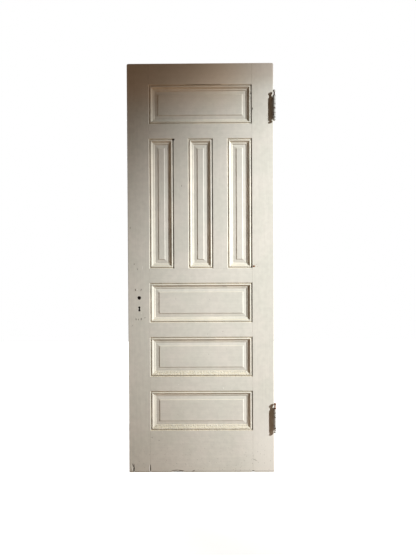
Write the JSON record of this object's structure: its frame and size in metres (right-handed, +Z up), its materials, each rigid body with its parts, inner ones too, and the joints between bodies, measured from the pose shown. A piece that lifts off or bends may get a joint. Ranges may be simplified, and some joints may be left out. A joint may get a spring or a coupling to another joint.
{
  "type": "panelled interior door",
  "caption": "Painted timber door leaf with raised panels in planted mouldings, hung on ball-tip butt hinges, with a mortise lock that has lost its knobs.",
  "frame": {"origin": "middle of the leaf's bottom edge, halfway through the leaf's thickness", "axes": "+Z up along the leaf; +X across it towards the hinges; the face that it opens towards looks along -Y"},
  "size_m": [0.7715, 0.0643, 2.134],
  "materials": {
    "painted_wood": "old satin oil paint, chipped and grimy in the hollows",
    "painted_steel": "paint over steel, worn through to rust",
    "lock_iron": "dry and dark",
    "screw_steel": "dull, rusting"
  },
  "bodies": {
    "jamb_hinges": {"upper_hinge_jamb_leaf": "painted_steel", "upper_hinge_pin": "painted_steel", "upper_hinge_bottom_tip": "painted_steel", "lower_hinge_jamb_leaf": "painted_steel", "lower_hinge_pin": "painted_steel", "lower_hinge_bottom_tip": "painted_steel"},
    "door": {"lock_stile": "painted_wood", "hinge_stile": "painted_wood", "top_rail": "painted_wood", "frieze_rail": "painted_wood", "lock_rail": "painted_wood", "middle_rail": "painted_wood", "lower_rail": "painted_wood", "bottom_rail": "painted_wood", "left_muntin": "painted_wood", "right_muntin": "painted_wood", "top_panel": "painted_wood", "left_upright_panel": "painted_wood", "middle_upright_panel": "painted_wood", "right_upright_panel": "painted_wood", "upper_lying_panel": "painted_wood", "middle_lying_panel": "painted_wood", "lower_lying_panel": "painted_wood", "top_front_moulding": "painted_wood", "left_upright_front_moulding": "painted_wood", "middle_upright_front_moulding": "painted_wood", "right_upright_front_moulding": "painted_wood", "upper_lying_front_moulding": "painted_wood", "middle_lying_front_moulding": "painted_wood", "lower_lying_front_moulding": "painted_wood", "top_back_moulding": "painted_wood", "left_upright_back_moulding": "painted_wood", "middle_upright_back_moulding": "painted_wood", "right_upright_back_moulding": "painted_wood", "upper_lying_back_moulding": "painted_wood", "middle_lying_back_moulding": "painted_wood", "lower_lying_back_moulding": "painted_wood", "lock_case": "lock_iron", "lock_cap": "lock_iron", "lock_faceplate": "lock_iron", "faceplate_screws": "screw_steel", "cap_screw": "screw_steel", "upper_hinge_door_leaf": "painted_steel", "upper_hinge_screws": "screw_steel", "lower_hinge_door_leaf": "painted_steel", "lower_hinge_screws": "screw_steel"},
    "latch": {"latch_bolt": "lock_iron"},
    "hub": {"lock_hub": "lock_iron"},
    "bolt": {"dead_bolt": "lock_iron"}
  },
  "joints": [
    {"name": "door_swing", "type": "hinge", "parent": "jamb_hinges", "child": "door", "pos_m": [0.3835, -0.03505, 0], "axis": [0, 0, 1], "range_deg": [0, 180]},
    {"name": "latch_slide", "type": "slide", "parent": "door", "child": "latch", "axis": [-1, 0, 0], "range_m": [0, 0.01]},
    {"name": "hub_turn", "type": "hinge", "parent": "door", "child": "hub", "pos_m": [-0.323, 0, 0.917], "axis": [0, -1, 0], "range_deg": [0, 40]},
    {"name": "bolt_throw", "type": "slide", "parent": "door", "child": "bolt", "axis": [-1, 0, 0], "range_m": [0, 0.0127]}
  ],
  "couplings": [
    {"joint": "hub_turn", "follows": "latch_slide", "rad_per_m": 69.8}
  ]
}
